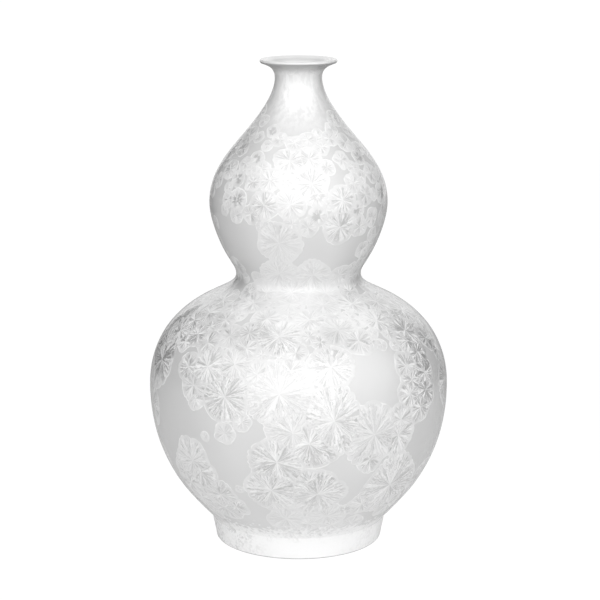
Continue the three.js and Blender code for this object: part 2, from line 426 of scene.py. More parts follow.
def smooth_step(value, low, high):
    """0 below low, 1 above high, and an S curve between them."""
    t = np.clip((value - low) / (high - low), 0, 1)
    return t * t * (3 - 2 * t)


def relief(depth, lead, runs, angles):
    """How far the glaze stands out: over crystals, more along their edges, and faintly in throwing rings.

    The edges are bell curves of the depth and of the lead. The rings are a sine of the run along the
    wall, and a slower sine that sways with the angle lets them come and go.
    """
    held = smooth_step(depth, 0.0, LEVEL_DEPTH)
    front = np.exp(-(((depth - EDGE_DEPTH) / EDGE_WIDTH) ** 2))
    meeting = np.exp(-((lead / MEETING_WIDTH) ** 2)) * held
    swell = np.sin(runs[:, None] / THROWING_SWELL + THROWING_SWAY * np.sin(angles)[None, :])
    rings = np.sin(runs / THROWING_PITCH)[:, None] * swell
    return CRYSTAL_RISE * held + EDGE_RISE * np.minimum(front + meeting, 1) + THROWING_RISE * rings


# Meshes


def wall_rows(low, high, spacing):
    """Rows of the outside wall between two heights: radius, height and length along the wall."""
    runs = even_steps(run_at(low), run_at(high), spacing)
    return np.column_stack([points_at(WALL, WALL_RUN, runs), runs])


def hidden_rows(points):
    """Rows that aren't on the outside wall. Their length along the wall is left open."""
    points = np.asarray(points, float)
    return np.column_stack([points, np.full(len(points), np.nan)])


def inside_rows(high, low, spacing):
    """Rows of the inside wall from a height down to another."""
    runs = even_steps(*np.interp([high, low], INSIDE[:, 1], INSIDE_RUN), spacing)
    return hidden_rows(points_at(INSIDE, INSIDE_RUN, runs))


def arc(centre, radius, start, end, steps):
    """Points of a circle's arc between two angles in degrees, ends included."""
    angles = np.radians(np.linspace(start, end, steps + 1))
    return np.asarray(centre) + radius * np.stack([np.cos(angles), np.sin(angles)], axis=1)


def line(start, end, steps):
    """Even points from one point to another, ends included."""
    return np.linspace(start, end, steps + 1)


def groove_radius(height):
    """The floor of a seam's groove, which follows the wall and is the outside of the tongue that passes."""
    return on_wall(WALL[:, 0], run_at(height)) - SEAM_DEPTH


def tongue_rows(seam):
    """The top of a section from the outside in, with its tongue."""
    top = seam + TONGUE_HEIGHT
    return hidden_rows([(groove_radius(seam), seam), (groove_radius(top), top)])


def rebate_rows(seam):
    """The foot of a section from the inside out, with the rebate that takes the tongue below it."""
    top = seam + TONGUE_HEIGHT + SLIP_FILM
    return hidden_rows([(groove_radius(top) + SLIP_FILM, top), (groove_radius(seam) + SLIP_FILM, seam)])


def outline_normals(rows, closed):
    """Normals of an outline: each row leans with its two neighbouring stretches, the longer one more."""
    points = rows[:, :2]
    stretches = np.diff(points, axis=0, append=points[:1])
    square = np.stack([stretches[:, 1], -stretches[:, 0]], axis=1)
    before = np.roll(square, 1, axis=0)
    if not closed:
        before[0] = square[0]
        square[-1] = before[-1]
    normals = square + before
    length = np.linalg.norm(normals, axis=1, keepdims=True)
    return normals / np.maximum(length, 1e-9)


def turned_faces(row_count, columns, closed):
    """Quads between neighbouring rows and columns, facing out, as loops of four vertex numbers."""
    rows = np.arange(row_count if closed else row_count - 1)[:, None]
    here = np.arange(columns)[None, :]
    beside = (here + 1) % columns
    low, high = rows * columns, (rows + 1) % row_count * columns
    corners = low + here, low + beside, high + beside, high + here
    return np.stack(corners, axis=-1).reshape(-1, 4)


def axis_fans(row_count, columns):
    """Triangles, facing out, from the first and last row to two points on the axis that follow the rows."""
    here = np.arange(columns)
    beside = (here + 1) % columns
    last = (row_count - 1) * columns
    middle = np.full(columns, row_count * columns)
    bottom = np.stack([middle, beside, here], axis=1)
    top = np.stack([last + here, last + beside, middle + 1], axis=1)
    return np.concatenate([bottom, top])


def vectors(*grids):
    """Three grids of values as one list of vectors."""
    return np.stack(grids, axis=-1).reshape(-1, 3)


def turned_grid(rows, columns, closed):
    """The points of a turned outline: each row becomes a ring, x = r sin a, y = -r cos a, z = height.

    Rows on the outside wall get the crystals' field and its relief, moved along the wall's normal, and
    normals that lean with the relief. Returned are places in metres, normals, the place in a crystal with
    its number, and the depth, lead and count of petals. The count is 0 off the outside wall.
    """
    angles = half_turn(np.arange(columns) * (2 * math.pi / columns))
    glazed = np.isfinite(rows[:, 2])
    shape = len(rows), columns
    normals = outline_normals(rows, closed)
    rise, lean_around, lean_up = np.zeros((3, *shape))
    field = np.zeros((6, *shape))
    field[0] = OPEN_GLAZE
    if glazed.any():
        runs, radii = rows[glazed, 2], rows[glazed, 0]
        climb = points_at(WALL_CLIMB, WALL_RUN, runs)
        normals[glazed] = np.stack([climb[:, 1], -climb[:, 0]], axis=1)
        grown = crystal_field(runs, radii, angles)
        field[:, glazed] = grown
        height = relief(grown[0], grown[1], runs, angles)
        rise[glazed] = height
        around = (np.roll(height, -1, axis=1) - np.roll(height, 1, axis=1)) / 2
        lean_around[glazed] = around / (radii[:, None] * 2 * math.pi / columns)
        lean_up[glazed] = np.gradient(height, runs, axis=0)
    across, up = normals[:, :1], normals[:, 1:]
    radius = rows[:, :1] + across * rise
    level = rows[:, 1:2] + up * rise
    sine, cosine = np.sin(angles)[None, :], np.cos(angles)[None, :]
    places = vectors(radius * sine, -radius * cosine, level) * MM
    out = across + up * lean_up
    facing = vectors(
        out * sine - lean_around * cosine, -out * cosine - lean_around * sine, up - across * lean_up
    )
    facing /= np.linalg.norm(facing, axis=1, keepdims=True)
    depth, lead, *ray, petals = field
    return places, facing, vectors(*ray), vectors(depth, lead, petals)


def placed(name, data):
    """An object at the origin."""
    made = bpy.data.objects.new(name, data)
    bpy.context.scene.collection.objects.link(made)
    return made


def turned(name, rows, columns, closed=True):
    """A piece turned from an outline. If that isn't closed, it starts and ends near the axis, with fans."""
    places, facing, ray, growth = turned_grid(rows, columns, closed)
    quads = turned_faces(len(rows), columns, closed)
    loops, sizes = quads.ravel(), np.full(len(quads), 4)
    if not closed:
        ends = [(0, 0, level * MM) for level in rows[[0, -1], 1]]
        places = np.vstack([places, ends])
        facing = np.vstack([facing, [(0, 0, -1), (0, 0, 1)]])
        ray = np.vstack([ray, np.zeros((2, 3))])
        growth = np.vstack([growth, [(OPEN_GLAZE, 0, 0)] * 2])
        fans = axis_fans(len(rows), columns)
        loops = np.concatenate([loops, fans.ravel()])
        sizes = np.concatenate([sizes, np.full(len(fans), 3)])
    mesh = bpy.data.meshes.new(name)
    mesh.vertices.add(len(places))
    mesh.vertices.foreach_set("co", places.ravel())
    mesh.loops.add(len(loops))
    mesh.loops.foreach_set("vertex_index", loops)
    mesh.polygons.add(len(sizes))
    mesh.polygons.foreach_set("loop_start", np.cumsum(sizes) - sizes)
    mesh.polygons.foreach_set("loop_total", sizes)
    mesh.update(calc_edges=True)
    mesh.validate()
    mesh.polygons.foreach_set("use_smooth", np.ones(len(mesh.polygons), bool))
    mesh.normals_split_custom_set_from_vertices(facing)
    for label, values in (("ray", ray), ("growth", growth)):
        mesh.attributes.new(label, "FLOAT_VECTOR", "POINT").data.foreach_set("vector", values.ravel())
    return placed(name, mesh)


# Shader nodes

VALUE = "NodeSocketFloat"
VECTOR = "NodeSocketVector"


def feed(tree, target, inputs):
    """Gives a node's sockets, by name or number, a value or another node's output each."""
    for socket, source in dict(inputs).items():
        source = getattr(source, "socket", source)
        if isinstance(source, bpy.types.NodeSocket):
            tree.links.new(source, target.inputs[socket])
        else:
            target.inputs[socket].default_value = source


def node(tree, kind, inputs=(), **settings):
    """A shader node with its settings, and with its inputs fed."""
    made = tree.nodes.new(kind)
    for name, setting in settings.items():
        setattr(made, name, setting)
    feed(tree, made, inputs)
    return made


class Value:
    """What an output of a shader node gives over the surface. Sums, products and the like are Math nodes."""

    def __init__(self, tree, socket):
        self.tree = tree
        self.socket = socket

    def into(self, kind, inputs, output=0, **settings):
        """An output of a new node in the same tree."""
        return Value(self.tree, node(self.tree, kind, inputs, **settings).outputs[output])

    def maths(self, operation, *others):
        """The output of a Math node that takes this value first."""
        return self.into("ShaderNodeMath", enumerate((self, *others)), operation=operation)

    def vector(self, operation, *others, output="Vector"):
        """An output of a Vector Math node that takes this vector first."""
        return self.into("ShaderNodeVectorMath", enumerate((self, *others)), output, operation=operation)

    def __add__(self, other):
        return self.maths("ADD", other)

    def __sub__(self, other):
        return self.maths("SUBTRACT", other)

    def __rsub__(self, other):
        return self.maths("MULTIPLY_ADD", -1.0, other)

    def __mul__(self, other):
        return self.maths("MULTIPLY", other)

    def __truediv__(self, other):
        return self.maths("DIVIDE", other)

    def rise(self, low, high, start=0.0, end=1.0):
        """Carried from start to end along an S curve as this value goes from low to high."""
        inputs = {"Value": self, "From Min": low, "From Max": high, "To Min": start, "To Max": end}
        return self.into("ShaderNodeMapRange", inputs, interpolation_type="SMOOTHSTEP")

    def fall(self, low, high, start=1.0):
        """Carried from start down to 0 in the same way."""
        return self.rise(low, high, start, 0.0)

    def clamped(self):
        """Kept between 0 and 1."""
        return self.into("ShaderNodeClamp", {"Value": self})

    def scaled(self, scale):
        """This vector times a value."""
        return self.into("ShaderNodeVectorMath", {0: self, "Scale": scale}, operation="SCALE")

    def parts(self, kind="ShaderNodeSeparateXYZ"):
        """The three parts of this vector or colour."""
        return [Value(self.tree, part) for part in node(self.tree, kind, {0: self}).outputs]


def most(first, *others):
    """The highest of several values."""
    for other in others:
        first = first.maths("MAXIMUM", other)
    return first


def joined(tree, x=0.0, y=0.0, z=0.0):
    """A vector from its three parts."""
    return Value(tree, node(tree, "ShaderNodeCombineXYZ", {0: x, 1: y, 2: z}).outputs[0])


def noise(place, scale, detail=2.0, roughness=0.55, output=0):
    """The value of a noise texture."""
    inputs = {"Vector": place, "Scale": scale, "Detail": detail, "Roughness": roughness}
    return place.into("ShaderNodeTexNoise", inputs, output)


def lots(value, socket, dimensions):
    """Three random values from 0 to 1 that go with a value."""
    drawn = value.into("ShaderNodeTexWhiteNoise", {socket: value}, "Color", noise_dimensions=dimensions)
    return drawn.parts("ShaderNodeSeparateColor")


def patch(place, middle, near, far, strength=1.0):
    """How strong a round patch is: full up to one distance from its middle, and gone at another."""
    return place.vector("DISTANCE", middle, output="Value").fall(near, far, strength)


def attribute(tree, name):
    """The vector that a mesh keeps under a name."""
    return Value(tree, node(tree, "ShaderNodeAttribute", attribute_name=name).outputs["Vector"])


def object_place(tree):
    """The place on a piece, in metres."""
    return Value(tree, node(tree, "ShaderNodeTexCoord").outputs["Object"])


def bump(height, strength, distance):
    """The normal of a surface that is raised by a height."""
    return height.into("ShaderNodeBump", {"Height": height, "Strength": strength, "Distance": distance})


def grey(value):
    """A neutral colour."""
    return value, value, value, 1.0


def mixed(factor, first, second):
    """A colour between two. The Mix node takes colours at sockets 6 and 7 and gives one at 2."""
    return factor.into("ShaderNodeMix", {0: factor, 6: first, 7: second}, 2, data_type="RGBA")


def new_group(name, inputs, outputs):
    """An empty node group, its inputs by name, and its end node. Sockets are given as name to socket type."""
    group = bpy.data.node_groups.new(name, "ShaderNodeTree")
    for way, sockets in (("INPUT", inputs), ("OUTPUT", outputs)):
        for socket, kind in sockets.items():
            group.interface.new_socket(socket, in_out=way, socket_type=kind)
    inlet = group.nodes.new("NodeGroupInput").outputs
    values = {socket: Value(group, inlet[socket]) for socket in inputs}
    return group, values, group.nodes.new("NodeGroupOutput")


def empty_material(name):
    """A material without nodes, and its tree."""
    material = bpy.data.materials.new(name)
    material.use_nodes = True
    material.node_tree.nodes.clear()
    return material, material.node_tree


def show(tree, shader):
    """Makes a shader the surface of its material."""
    node(tree, "ShaderNodeOutputMaterial", {"Surface": shader.outputs[0]}, is_active_output=True)


def new_material(name):
    """A material with its tree and the Principled shader of its surface."""
    material, tree = empty_material(name)
    shader = node(tree, "ShaderNodeBsdfPrincipled")
    show(tree, shader)
    return material, tree, shader


# Finishes

# What sets a crystal's noise apart from the next one's, and how far its rays waver, as a share of the
# distance.
NOISE_STEP = 3.73
WAVER = 0.28


def crystal_group():
    """How white a crystal's needles stand at a point, from the place in it and the depth behind its front.

    The direction from the nucleus is a point on a circle. Noise on that circle changes with the direction
    alone, so it makes wedges: coarse noise is the rays near the nucleus and fine noise the needles
    further out. Petals are counted off around the nucleus as they are for the front. Pale lines run
    between petals, along the front, where crystals meet and at the nucleus. Some small crystals of the
    upper bulb have dark hearts. Crystal says where a crystal holds the glaze, White how densely its
    needles lie, and Height is their relief.
    """
    group, inlet, outlet = new_group(
        "Crystal growth",
        {"Ray": VECTOR, "Growth": VECTOR},
        {"Crystal": VALUE, "White": VALUE, "Height": VALUE},
    )
    across, along, number = inlet["Ray"].parts()
    depth, lead, petals = inlet["Growth"].parts()
    number = number.maths("ROUND")
    own = number * OWN_TURN
    flat = joined(group, across, along)
    away = flat.vector("LENGTH", output="Value")
    shift = joined(group, z=number * NOISE_STEP)
    own_place = flat.vector("ADD", shift)
    waver = noise(own_place, 0.22, roughness=0.5, output="Color").vector("SUBTRACT", (0.5, 0.5, 0.5))
    unit = flat.vector("ADD", waver.scaled(away * WAVER)).vector("NORMALIZE")
    reach = away + depth.maths("MAXIMUM", 0.0) + 0.01
    share = away / reach
    crystal = depth.rise(0.0, 0.4)
    small = reach.fall(8.0, 12.0)
    fade = noise(own_place, 0.12).rise(0.35, 0.65, 0.4, 1.0)

    def wedges(fineness, drift, detail=2.0, roughness=0.55):
        """Noise that turns with the direction, drifts slowly outwards and differs from crystal to crystal."""
        point = unit.scaled(fineness).vector("ADD", shift).vector("ADD", joined(group, z=away * drift))
        return noise(point, 1.0, detail, roughness)

    direction = along.maths("ARCTAN2", across)
    two = (direction * 2.0 + own).maths("SINE")
    three = (direction * 3.0 + own * 2.0).maths("SINE")
    turn = (petals * (direction + three * THREE_FOLD + two * TWO_FOLD) + own) / (2 * math.pi)
    side = (turn.maths("FRACT") * 2.0 - 1.0).maths("ABSOLUTE")
    off_line = (1.0 - side) * away * math.pi / petals
    between = off_line.fall(0.15, 0.75) * share.rise(0.3, 0.75)
    order = turn.maths("FLOOR").maths("FLOORED_MODULO", petals.maths("ROUND"))
    tone, flash, _ = lots(joined(group, order, number), "Vector", "3D")
    lot, calm, _ = lots(number, "W", "1D")

    rays = wedges(2.4, 0.02).rise(0.42, 0.6)
    needles = wedges(reach * 0.55, 0.06, 3.0, 0.6).rise(0.4, 0.62)
    marks = wedges(reach * 0.5, 0.14).rise(0.52, 0.63)
    lively = wedges(0.9, 0.0, 1.0).rise(0.36, 0.58, 0.3, 1.0)
    inner = share.fall(0.15, 0.7)
    belt = share.rise(0.1, 0.3) * depth.rise(1.5, 4.0)
    drawn = inner * (flash - 0.45) * 0.55 + inner * lively * (rays - 0.5) * 0.5
    drawn = drawn + belt * (needles - 0.4) * 0.6 - belt * lively * marks * 0.6

    first = len(SHOULDER_CRYSTALS + BELLY_CRYSTALS) + 0.5
    upper = number.maths("GREATER_THAN", first) * number.maths("LESS_THAN", first + len(UPPER_CRYSTALS))
    broken = noise(own_place, 0.28, 1.0).rise(0.44, 0.56)
    heart = upper * small * lot.rise(0.4, 0.6) * share.fall(0.3, 0.65) * broken

    white = drawn * (calm * 0.6 + 0.6) + (tone * 0.2 + 0.4) - heart * 0.6
    white = most(white, between * fade * 0.75) * crystal
    front = (depth - 0.55).maths("ABSOLUTE").fall(0.1, 0.8) * fade
    meeting = lead.fall(0.1, 1.0) * depth.rise(0.5, 2.0)
    core = away.fall(0.2, 1.2) * (crystal - small)
    white = most(white, front * 0.9, meeting * 0.65, core * 0.7).clamped()
    feed(group, outlet, {"Crystal": crystal, "White": white, "Height": white})
    return group


FINE_WHITE = 0.97
FINE_GREY = 0.68


def fine_crystal_group():
    """Greyer flecks in glaze crowded with fine crystals: flakes 1 to 2 mm across, fewest on the front. Their
    thinning on the front and on the right is painted light, where the light falls stronger.

    Front is how strong they are there.
    """
    group, inlet, outlet = new_group("Fine crystals", {"Place": VECTOR, "Front": VALUE}, {"Speck": VALUE})
    place = inlet["Place"]
    across = place.parts()[0]
    flakes = noise(place, 480.0, 3.0, 0.6).rise(0.44, 0.6)
    patches = noise(place, 110.0, 3.0).rise(0.38, 0.6, 0.2, 1.0)
    # Painted light: flecks full on the left, and fewer on the right and on the front, where more light falls.
    left = across.fall(-0.05, -0.015)
    right = across.rise(0.02, 0.055, 0.0, 0.4)
    feed(group, outlet, {"Speck": flakes * most(left, right, inlet["Front"]) * patches})
    return group


def fine_glaze(tree, fine, place, front):
    """The colour of glaze crowded with fine crystals, and its flecks."""
    speck = node(tree, "ShaderNodeGroup", {"Place": place, "Front": front}, node_tree=fine).outputs["Speck"]
    speck = Value(tree, speck)
    return mixed(speck, grey(FINE_WHITE), grey(FINE_GREY)), speck


GLAZE_GREY = 0.7
CLOUD = 0.02
PEARL_GREY = 0.58
PEARL_METAL = 0.8
NEEDLE_GREY = 0.95
# Painted shade that greys the glaze towards the two sides: where it starts and is full, as sines of the angle
# from the front, and its tone there.
SHADED_SIDES = (0.35, 0.8)
SIDE_SHADE_GREY = 0.6
# Painted highlight up the front of the neck, broken by mottled streaks, and the top of the lip whitened:
# heights in metres up the neck and at the lip, sines of the angle from the front where the highlight fades
# at the neck's sides, and how white it is at each end.
NECK_HIGHLIGHT = (0.298, 0.33, 0.0, 0.8)
WHITE_LIP_TOP = (0.3526, 0.354, 0.0, 0.5)
NECK_HIGHLIGHT_ASIDE = (0.3, 0.95, 1.0, 0.3)
# Heights in metres between which the inside of the mouth turns white downwards, as painted light in its
# shade.
PAINTED_LIGHT_INSIDE = (0.3498, 0.3535)
# Heights in metres of the painted shade under the lip, and the grey of it, which the waist's shade shares.
UNDER_LIP_SHADE_START = (0.3445, 0.3525)
UNDER_LIP_SHADE_END = (0.3528, 0.3538)
PAINTED_SHADE_GREY = 0.34
# Radii in metres between which the lip turns from its inside to its outside.
LIP_TURN = (0.0262, 0.0268)
# Spots of painted shade in the crook of the waist: the middle, where the shade starts to fade and where it
# ends, and its strength.
WAIST_SHADE_SPOTS = [((-0.042, -0.02, 0.194), 0.002, 0.011, 0.45), ((0.044, -0.018, 0.196), 0.002, 0.01, 0.25)]
# Patches of painted highlight in metres: the middle, where it starts to fade and where it ends. Then how
# much white it adds to crystals and to plain glaze, or takes from them as painted shade where that is below
# 0.
PAINTED_LIGHT_PATCHES = [
    ((0.0, -0.07, 0.183), 0.008, 0.032, 0.42, 0.2),
    ((-0.036, -0.056, 0.182), 0.006, 0.024, 0.3, 0.15),
    ((0.04, -0.058, 0.178), 0.006, 0.03, 0.4, 0.15),
    ((0.0, -0.018, 0.338), 0.006, 0.02, 0.4, 0.4),
    ((0.005, -0.05, 0.285), 0.012, 0.055, 0.28, 0.18),
    ((0.005, -0.105, 0.13), 0.015, 0.06, 0.14, 0.0),
    ((0.05, -0.088, 0.146), 0.012, 0.035, 0.0, 0.22),
    ((-0.088, -0.035, 0.158), 0.012, 0.036, 0.1, 0.0),
    ((-0.056, -0.028, 0.268), 0.008, 0.026, 0.2, 0.08),
    ((0.056, -0.028, 0.268), 0.008, 0.026, 0.16, 0.08),
    ((-0.044, -0.006, 0.295), 0.01, 0.03, -0.1, 0.0),
]
# Patches where the needles are drawn in stronger contrast, as painted dark reflections at the sides, or in
# weaker contrast as painted glare in front where the strength is below 0: the middle, where that starts to
# fade and where it ends, and the strength.
REFLECTION_CONTRAST_PATCHES = [
    ((-0.09, -0.035, 0.158), 0.012, 0.036, 1.3),
    ((0.088, -0.04, 0.163), 0.012, 0.034, 1.3),
    ((0.092, -0.056, 0.13), 0.01, 0.03, 0.8),
    ((0.0, -0.05, 0.206), 0.02, 0.05, -0.65),
    ((-0.014, -0.058, 0.232), 0.008, 0.022, -0.3),
    ((0.0, -0.07, 0.03), 0.02, 0.05, -0.45),
    ((-0.044, -0.006, 0.295), 0.01, 0.03, 0.8),
]
REFLECTION_CONTRAST_MIDDLE = 0.62
# The fringe of fine crystals over the foot: how far up it climbs in front and at the sides, where that
# changes, how ragged it is, and how strong its flecks are in front.
FRINGE_CLIMB = (0.013, 0.012)
FRINGE_TURN = (0.15, 0.6)
RAGGED = 2.6
FRINGE_FLECKS = 0.5
# Heights in metres between which the flecks in front of the foot grow strong, and how strong they are. Fewer
# low down paint the bounce light from the floor.
FOOT_FLECKS = (0.011, 0.018, 0.04, 0.42)
# Bare clay, painted darker than porcelain as contact shade along the foot's bottom edge.
CLAY_AND_CONTACT_SHADE_GREYS = (0.5, 0.58)


def crystalline_glaze(crystals, fine):
    """Clear glossy glaze over pale grey, greyed towards the two sides by painted shade.

    In the crystals white needles lie over a pearly ground. Painted highlights whiten the glaze in patches and
    painted shade greys it in a few. In some patches the needles are drawn in stronger contrast, as painted
    dark reflections, and in others weaker, as painted glare. Mottled streaks up the neck carry a painted
    highlight, the top of the lip is whitened, painted light whitens the inside of the mouth, and painted
    shade greys the glaze under the lip and in the crook of the waist. It ends in a ragged fringe of fine
    crystals over the foot.
    """
    material, tree, shader = new_material("crystalline_glaze")
    growth = attribute(tree, "growth")
    grown = {"Ray": attribute(tree, "ray"), "Growth": growth}
    grown = node(tree, "ShaderNodeGroup", grown, node_tree=crystals).outputs
    crystal, needles, needle_height = [Value(tree, output) for output in grown]
    outside = growth.parts()[2].rise(0.0, 1.0)
    place = object_place(tree)
    height = place.parts()[2]
    level_place = place.vector("MULTIPLY", (1.0, 1.0, 0.0))
    radius = level_place.vector("LENGTH", output="Value")
    aside = level_place.vector("NORMALIZE").parts()[0].maths("ABSOLUTE")

    ground = mixed(noise(place, 24.0, 3.0), grey(GLAZE_GREY - CLOUD), grey(GLAZE_GREY + CLOUD))
    # Painted shade: the ground greys towards the two sides.
    ground = mixed(aside.rise(*SHADED_SIDES), ground, grey(SIDE_SHADE_GREY))
    ground = mixed(crystal, ground, grey(PEARL_GREY))

    drawn_out = place.vector("MULTIPLY", (1.0, 1.0, 0.3))
    streaks = noise(drawn_out, 330.0, 3.0, 0.6).rise(0.36, 0.6, 0.35, 1.0)
    # Painted highlight up the neck: mottled streaks, whitest in front and fading towards the sides.
    neck_highlight_streaks = height.rise(*NECK_HIGHLIGHT) * streaks * aside.rise(*NECK_HIGHLIGHT_ASIDE)
    # Painted light: the inside of the mouth whitens downwards into its shaded depth.
    inside = (1.0 - outside) * height.fall(*PAINTED_LIGHT_INSIDE)
    white = most(needles, neck_highlight_streaks * outside + inside + height.rise(*WHITE_LIP_TOP))
    # Painted highlights, and painted shade where the amounts are below 0.
    for *where, on_crystals, on_plain in PAINTED_LIGHT_PATCHES:
        white = white + patch(place, *where) * (crystal * (on_crystals - on_plain) + on_plain)
    # Painted reflections and glare: the needles' contrast raised at the sides and lowered in front.
    for where in REFLECTION_CONTRAST_PATCHES:
        white = white + (white - REFLECTION_CONTRAST_MIDDLE) * (patch(place, *where) * crystal)
    white = white.clamped()
    colour = mixed(white, ground, grey(NEEDLE_GREY))

    # Painted shade under the flared lip, and in the crook of the waist.
    under_lip = radius.rise(*LIP_TURN) * height.fall(*UNDER_LIP_SHADE_END)
    painted_shade = height.rise(*UNDER_LIP_SHADE_START) * most(outside, under_lip)
    # Painted shade in the crook of the waist, at its left and right.
    painted_shade = most(painted_shade, *[patch(place, *where) for where in WAIST_SHADE_SPOTS])
    colour = mixed(painted_shade, colour, grey(PAINTED_SHADE_GREY))

    above = (height - FOOT_CORNER[1] * MM) / aside.rise(*FRINGE_TURN, *FRINGE_CLIMB)
    ragged = (noise(place, 300.0, 3.0) - 0.5) * RAGGED
    fringe = (above + ragged).fall(0.3, 0.9)
    colour = mixed(fringe, colour, fine_glaze(tree, fine, place, FRINGE_FLECKS)[0])
    bare = 1.0 - most(white, fringe)
    feed(tree, shader, {
        "Base Color": colour,
        "Metallic": bare * bare * PEARL_METAL * crystal,
        "Normal": bump(needle_height, 0.3, 0.0004),
        "Roughness": 0.5,
        "Coat Weight": 1.0,
        "Coat Roughness": 0.05,
    })
    return material


def foot_glaze(fine):
    """White glaze crowded with tiny crystals."""
    material, tree, shader = new_material("foot_glaze")
    place = object_place(tree)
    # Flecks fewer low on the front of the foot: painted bounce light from the floor.
    colour, speck = fine_glaze(tree, fine, place, place.parts()[2].rise(*FOOT_FLECKS))
    feed(tree, shader, {
        "Base Color": colour,
        "Normal": bump(speck, 0.2, 0.0002),
        "Roughness": 0.32,
        "Coat Weight": 0.6,
        "Coat Roughness": 0.12,
    })
    return material


def bare_porcelain():
    """Matt fired clay with fine turning lines, for what is left unglazed, painted dark grey as contact shade.
    """
    material, tree, shader = new_material("bare_porcelain")
    place = object_place(tree)
    rings = {"Vector": place, "Scale": 420.0, "Distortion": 1.2, "Detail": 2.0, "Detail Scale": 3.0}
    rings = place.into("ShaderNodeTexWave", rings, "Fac", wave_type="RINGS", rings_direction="Z")
    grain = noise(place, 900.0, 3.0)
    feed(tree, shader, {
        "Base Color": mixed(grain, *map(grey, CLAY_AND_CONTACT_SHADE_GREYS)),
        "Normal": bump(rings + grain * 0.5, 0.25, 0.0002),
        "Roughness": 0.85,
    })
    return material


# Pieces of the vase

# Sections between two seams: node, the seams below and above, columns around and spacing of rows.
THROWN_SECTIONS = [
    ("lower_dome", "belly", "waist", LOWER_COLUMNS, ROW_SPACING),
    ("upper_bowl", "waist", "upper", UPPER_COLUMNS, FINE_ROW_SPACING),
    ("upper_dome", "upper", "neck", UPPER_COLUMNS, FINE_ROW_SPACING),
]


def thrown_section(name, low, high, columns, spacing):
    """A section between two luted seams: outside wall, tongue, inside wall and rebate."""
    rows = [
        wall_rows(SEAMS[low], SEAMS[high], spacing),
        tongue_rows(SEAMS[high]),
        inside_rows(SEAMS[high] + TONGUE_HEIGHT, SEAMS[low] + TONGUE_HEIGHT + SLIP_FILM, INSIDE_ROW_SPACING),
        rebate_rows(SEAMS[low]),
    ]
    return turned(name, np.concatenate(rows), columns)


def foot_bore():
    """The radius of the foot ring's bore."""
    return FOOT_RADIUS - 2 * FOOT_EDGE - FOOT_LAND


def foot_ring():
    """The ring that the vase stands on: eased edges, leaning outside, seat for the bowl, straight bore."""
    seam = SEAMS["foot"]
    seat = seam - SEAM_HALF_HEIGHT
    step = groove_radius(seam) + SLIP_FILM
    bore = foot_bore()
    outer_edge = arc((FOOT_RADIUS - FOOT_EDGE, FOOT_EDGE), FOOT_EDGE, -90, 0, EDGE_STEPS)
    inner_edge = arc((bore + FOOT_EDGE, FOOT_EDGE), FOOT_EDGE, 180, 270, EDGE_STEPS)
    points = [
        outer_edge,
        line(outer_edge[-1], FOOT_CORNER[:2], FOOT_STEPS)[1:],
        [(FOOT_CORNER[0] - CRISP_CORNER, seam), (step, seam), (step, seat), (bore, seat)],
        line((bore, seat - CRISP_SEAT), inner_edge[0], BORE_STEPS),
        inner_edge[1:],
    ]
    return turned("foot_ring_glazed", hidden_rows(np.concatenate(points)), LOWER_COLUMNS)


def lower_bowl():
    """The bowl: boss, base, belly up to its widest ring, and the inside down to a filleted floor.

    The fillet is a quadratic Bezier curve from the wall to the floor about the corner where they would
    meet.
    """
    seam = SEAMS["foot"]
    boss = foot_bore() - SLIP_FILM
    seat = seam - SEAM_HALF_HEIGHT + SLIP_FILM
    step = groove_radius(seam)
    floor = FOOT_WELL + BASE_THICKNESS
    fillet_top = floor + FLOOR_FILLET
    wall_in = INSIDE[np.searchsorted(INSIDE[:, 1], fillet_top)]
    corner = np.array([np.interp(floor, INSIDE[:, 1], INSIDE[:, 0]), floor])
    floor_end = corner - [FLOOR_FILLET, 0]
    t = line(0, 1, EDGE_STEPS)[1:, None]
    fillet = (1 - t) ** 2 * wall_in + 2 * (1 - t) * t * corner + t**2 * floor_end
    top = SEAMS["belly"]
    rows = [
        hidden_rows(line((AXIS_ROW, FOOT_WELL), (boss - BOSS_EDGE, FOOT_WELL), WELL_STEPS)),
        hidden_rows([(boss, FOOT_WELL + BOSS_EDGE), (boss, seat), (step, seat), (step, seam)]),
        wall_rows(seam, top, ROW_SPACING),
        tongue_rows(top),
        inside_rows(top + TONGUE_HEIGHT, fillet_top, INSIDE_ROW_SPACING),
        hidden_rows(fillet),
        hidden_rows([(FLOOR_ROW, floor), (AXIS_ROW, floor)]),
    ]
    return turned("lower_bowl_glazed", np.concatenate(rows), LOWER_COLUMNS, closed=False)


def neck_and_mouth():
    """The neck, the flared mouth, the half-round lip and the bore down to the rebate."""
    seam = SEAMS["neck"]
    _, centre = lip_ring()
    lip = arc(centre, LIP_THICKNESS / 2, -MOUTH_LEAN, 180 - MOUTH_LEAN, LIP_STEPS)
    rows = [
        wall_rows(seam, WALL[-1, 1], FINE_ROW_SPACING),
        hidden_rows(lip[1:-1]),
        inside_rows(INSIDE[-1, 1], seam + TONGUE_HEIGHT + SLIP_FILM, MOUTH_ROW_SPACING),
        rebate_rows(seam),
    ]
    return turned("neck_and_mouth_glazed", np.concatenate(rows), NECK_COLUMNS)


def finish_piece(piece, material, slot, *nodes):
    """Gives a piece its glaze, rides it on the vase's one body, and lets it stand for its solids."""
    piece.data.materials.append(material)
    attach(piece, "root")
    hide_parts(*nodes)
    return piece


def leave_bare(piece, clay, height):
    """Gives the faces under the foot, whose middle lies below a height, bare clay as their material."""
    faces = piece.data.polygons
    middles = np.empty(len(faces) * 3)
    faces.foreach_get("center", middles)
    x, y, z = middles.reshape(-1, 3).T / MM
    piece.data.materials.append(clay)
    faces.foreach_set("material_index", ((z < height) & (np.hypot(x, y) < FOOT_RADIUS)).astype(np.int32))


